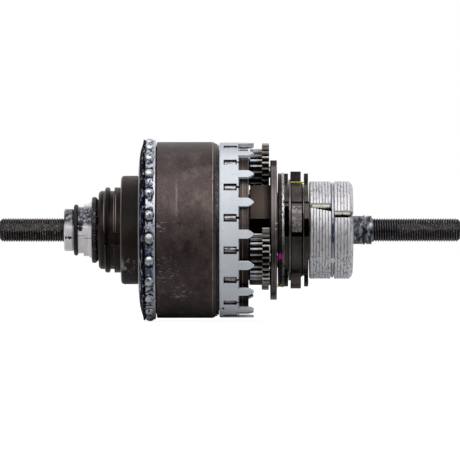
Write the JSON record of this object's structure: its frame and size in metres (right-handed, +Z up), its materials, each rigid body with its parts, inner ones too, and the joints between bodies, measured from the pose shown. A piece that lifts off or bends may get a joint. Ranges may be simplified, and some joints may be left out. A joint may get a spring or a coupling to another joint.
{
  "type": "coaster brake hub",
  "caption": "Geared gear-and-brake unit of a bicycle coaster brake hub on its threaded axle, with driver, drum, roller clutch, planet gears and expanding brake shoes.",
  "frame": {"origin": "The middle of the axle, on its centre line.", "axes": "+X along the axle towards the brake side, +Z up, +Y away from the viewer of the picture."},
  "size_m": [0.184, 0.073, 0.073],
  "materials": {
    "axle_steel": "turned and threaded steel",
    "locknut_steel": "bright zinc plated steel",
    "seal_rubber": "moulded black rubber",
    "cone_steel": "turned and plated steel",
    "gear_steel": "hardened steel with cut teeth",
    "brake_cone_steel": "oiled steel",
    "spring_steel": "drawn spring wire",
    "sleeve_steel": "sintered steel",
    "driver_steel": "hardened steel with greasy stains",
    "cap_steel": "black finished pressed steel",
    "cage_steel": "dark pressed steel under grease",
    "ball_steel": "polished bearing steel",
    "inner_carrier_steel": "sintered steel",
    "pin_steel": "ground steel",
    "drum_steel": "blackened and oiled steel",
    "dark_ring_steel": "blackened steel",
    "cam_steel": "ground steel",
    "ring_gear_steel": "oiled steel",
    "cage_plastic": "moulded grey blue nylon",
    "roller_steel": "ground bearing steel",
    "carrier_steel": "brown oiled steel",
    "plate_steel": "worn steel",
    "bright_ring_steel": "bright steel",
    "friction_wire": "yellow passivated wire",
    "brake_cage_steel": "pressed steel",
    "shoe_steel": "ridged sintered metal"
  },
  "bodies": {
    "axle": {"axle": "axle_steel", "drive_locknut": "locknut_steel", "drive_o_ring": "seal_rubber", "drive_cone": "cone_steel", "cone_dust_seal": "seal_rubber", "first_sun_gear": "gear_steel", "locked_sun_gear": "gear_steel", "brake_cone": "brake_cone_steel", "sleeve_return_spring": "spring_steel", "brake_shoe_spring": "spring_steel"},
    "shift_sleeve": {"shift_sleeve": "sleeve_steel"},
    "driver": {"driver": "driver_steel", "driver_dust_cap": "cap_steel", "first_planet_carrier": "inner_carrier_steel", "first_planet_pins": "pin_steel"},
    "driver_bearing": {"driver_ball_cage": "cage_steel", "driver_balls": "ball_steel"},
    "drum": {"ring_gear_drum": "drum_steel", "drum_stop_ring": "dark_ring_steel", "clutch_cam": "cam_steel", "output_ring_gear": "ring_gear_steel"},
    "hub_bearing": {"hub_ball_cage": "cage_steel", "hub_balls": "ball_steel"},
    "clutch_cage": {"clutch_roller_cage": "cage_plastic", "clutch_rollers": "roller_steel"},
    "planet_carrier": {"planet_carrier": "carrier_steel", "carrier_plate": "plate_steel", "second_planet_pins": "pin_steel", "carrier_thrust_ring": "dark_ring_steel", "carrier_bright_ring": "bright_ring_steel", "brake_drive_ring_left": "dark_ring_steel", "brake_spacer_ring": "dark_ring_steel", "brake_drive_ring_middle": "dark_ring_steel", "friction_ring": "friction_wire", "brake_drive_ring_right": "dark_ring_steel", "brake_cam": "cam_steel"},
    "free_sun": {"free_sun_gear": "gear_steel"},
    "brake_cage": {"brake_roller_cage": "brake_cage_steel"},
    "first_planet_1": {"first_planet_gear_1": "gear_steel"},
    "first_planet_2": {"first_planet_gear_2": "gear_steel"},
    "first_planet_3": {"first_planet_gear_3": "gear_steel"},
    "first_planet_4": {"first_planet_gear_4": "gear_steel"},
    "second_planet_1": {"second_planet_gear_1": "gear_steel"},
    "brake_roller_1": {"brake_roller_1": "roller_steel"},
    "brake_shoe_1": {"brake_shoe_1": "shoe_steel"},
    "second_planet_2": {"second_planet_gear_2": "gear_steel"},
    "brake_roller_2": {"brake_roller_2": "roller_steel"},
    "brake_shoe_2": {"brake_shoe_2": "shoe_steel"},
    "second_planet_3": {"second_planet_gear_3": "gear_steel"},
    "brake_roller_3": {"brake_roller_3": "roller_steel"},
    "brake_shoe_3": {"brake_shoe_3": "shoe_steel"}
  },
  "joints": [
    {"name": "driver_spin", "type": "hinge", "parent": "axle", "child": "driver", "pos_m": [0, 0, 0], "axis": [1, 0, 0], "continuous": true},
    {"name": "driver_bearing_spin", "type": "hinge", "parent": "axle", "child": "driver_bearing", "pos_m": [0, 0, 0], "axis": [1, 0, 0], "continuous": true},
    {"name": "drum_spin", "type": "hinge", "parent": "axle", "child": "drum", "pos_m": [0, 0, 0], "axis": [1, 0, 0], "continuous": true},
    {"name": "hub_bearing_spin", "type": "hinge", "parent": "drum", "child": "hub_bearing", "pos_m": [0, 0, 0], "axis": [1, 0, 0], "continuous": true},
    {"name": "clutch_cage_turn", "type": "hinge", "parent": "drum", "child": "clutch_cage", "pos_m": [0, 0, 0], "axis": [1, 0, 0], "range_deg": [0, 7]},
    {"name": "carrier_spin", "type": "hinge", "parent": "axle", "child": "planet_carrier", "pos_m": [0, 0, 0], "axis": [1, 0, 0], "continuous": true},
    {"name": "free_sun_spin", "type": "hinge", "parent": "axle", "child": "free_sun", "pos_m": [0, 0, 0], "axis": [1, 0, 0], "continuous": true},
    {"name": "shift_sleeve_turn", "type": "hinge", "parent": "axle", "child": "shift_sleeve", "pos_m": [0, 0, 0], "axis": [1, 0, 0], "range_deg": [0, 150], "stiffness_Nm_per_rad": 0.01},
    {"name": "first_planet_1_spin", "type": "hinge", "parent": "driver", "child": "first_planet_1", "pos_m": [0, 0, 0.021], "axis": [1, 0, 0], "continuous": true},
    {"name": "first_planet_2_spin", "type": "hinge", "parent": "driver", "child": "first_planet_2", "pos_m": [0, -0.021, 0], "axis": [1, 0, 0], "continuous": true},
    {"name": "first_planet_3_spin", "type": "hinge", "parent": "driver", "child": "first_planet_3", "pos_m": [0, 0, -0.021], "axis": [1, 0, 0], "continuous": true},
    {"name": "first_planet_4_spin", "type": "hinge", "parent": "driver", "child": "first_planet_4", "pos_m": [0, 0.021, 0], "axis": [1, 0, 0], "continuous": true},
    {"name": "second_planet_1_spin", "type": "hinge", "parent": "planet_carrier", "child": "second_planet_1", "pos_m": [0, 0.00122, 0.02322], "axis": [1, 0, 0], "continuous": true},
    {"name": "second_planet_2_spin", "type": "hinge", "parent": "planet_carrier", "child": "second_planet_2", "pos_m": [0, -0.02072, -0.01056], "axis": [1, 0, 0], "continuous": true},
    {"name": "second_planet_3_spin", "type": "hinge", "parent": "planet_carrier", "child": "second_planet_3", "pos_m": [0, 0.0195, -0.01266], "axis": [1, 0, 0], "continuous": true},
    {"name": "brake_cage_turn", "type": "hinge", "parent": "planet_carrier", "child": "brake_cage", "pos_m": [0, 0, 0], "axis": [1, 0, 0], "range_deg": [0, 12]},
    {"name": "brake_roller_1_lift", "type": "slide", "parent": "brake_cage", "child": "brake_roller_1", "axis": [0, -0.8572, -0.515], "range_m": [0, 0.00035]},
    {"name": "brake_shoe_1_lift", "type": "slide", "parent": "axle", "child": "brake_shoe_1", "axis": [0, -0.8572, -0.515], "range_m": [0, 0.0007]},
    {"name": "brake_roller_2_lift", "type": "slide", "parent": "brake_cage", "child": "brake_roller_2", "axis": [0, 0.8746, -0.4848], "range_m": [0, 0.00035]},
    {"name": "brake_shoe_2_lift", "type": "slide", "parent": "axle", "child": "brake_shoe_2", "axis": [0, 0.8746, -0.4848], "range_m": [0, 0.0007]},
    {"name": "brake_roller_3_lift", "type": "slide", "parent": "brake_cage", "child": "brake_roller_3", "axis": [0, -0.0175, 0.9998], "range_m": [0, 0.00035]},
    {"name": "brake_shoe_3_lift", "type": "slide", "parent": "axle", "child": "brake_shoe_3", "axis": [0, -0.0175, 0.9998], "range_m": [0, 0.0007]}
  ],
  "couplings": [
    {"joint": "driver_bearing_spin", "follows": "driver_spin", "ratio": 0.55757},
    {"joint": "drum_spin", "follows": "driver_spin", "ratio": 1.4},
    {"joint": "carrier_spin", "follows": "driver_spin", "ratio": 1.0387},
    {"joint": "free_sun_spin", "follows": "driver_spin", "ratio": -0.50909},
    {"joint": "first_planet_1_spin", "follows": "driver_spin", "ratio": 1.3333},
    {"joint": "first_planet_2_spin", "follows": "driver_spin", "ratio": 1.3333},
    {"joint": "first_planet_3_spin", "follows": "driver_spin", "ratio": 1.3333},
    {"joint": "first_planet_4_spin", "follows": "driver_spin", "ratio": 1.3333},
    {"joint": "second_planet_1_spin", "follows": "driver_spin", "ratio": 1.7613},
    {"joint": "second_planet_2_spin", "follows": "driver_spin", "ratio": 1.7613},
    {"joint": "second_planet_3_spin", "follows": "driver_spin", "ratio": 1.7613},
    {"joint": "brake_cage_turn", "follows": "brake_shoe_1_lift", "rad_per_m": 299.19},
    {"joint": "brake_shoe_2_lift", "follows": "brake_shoe_1_lift", "ratio": 1},
    {"joint": "brake_shoe_3_lift", "follows": "brake_shoe_1_lift", "ratio": 1},
    {"joint": "brake_roller_1_lift", "follows": "brake_shoe_1_lift", "ratio": 0.5},
    {"joint": "brake_roller_2_lift", "follows": "brake_shoe_1_lift", "ratio": 0.5},
    {"joint": "brake_roller_3_lift", "follows": "brake_shoe_1_lift", "ratio": 0.5}
  ]
}
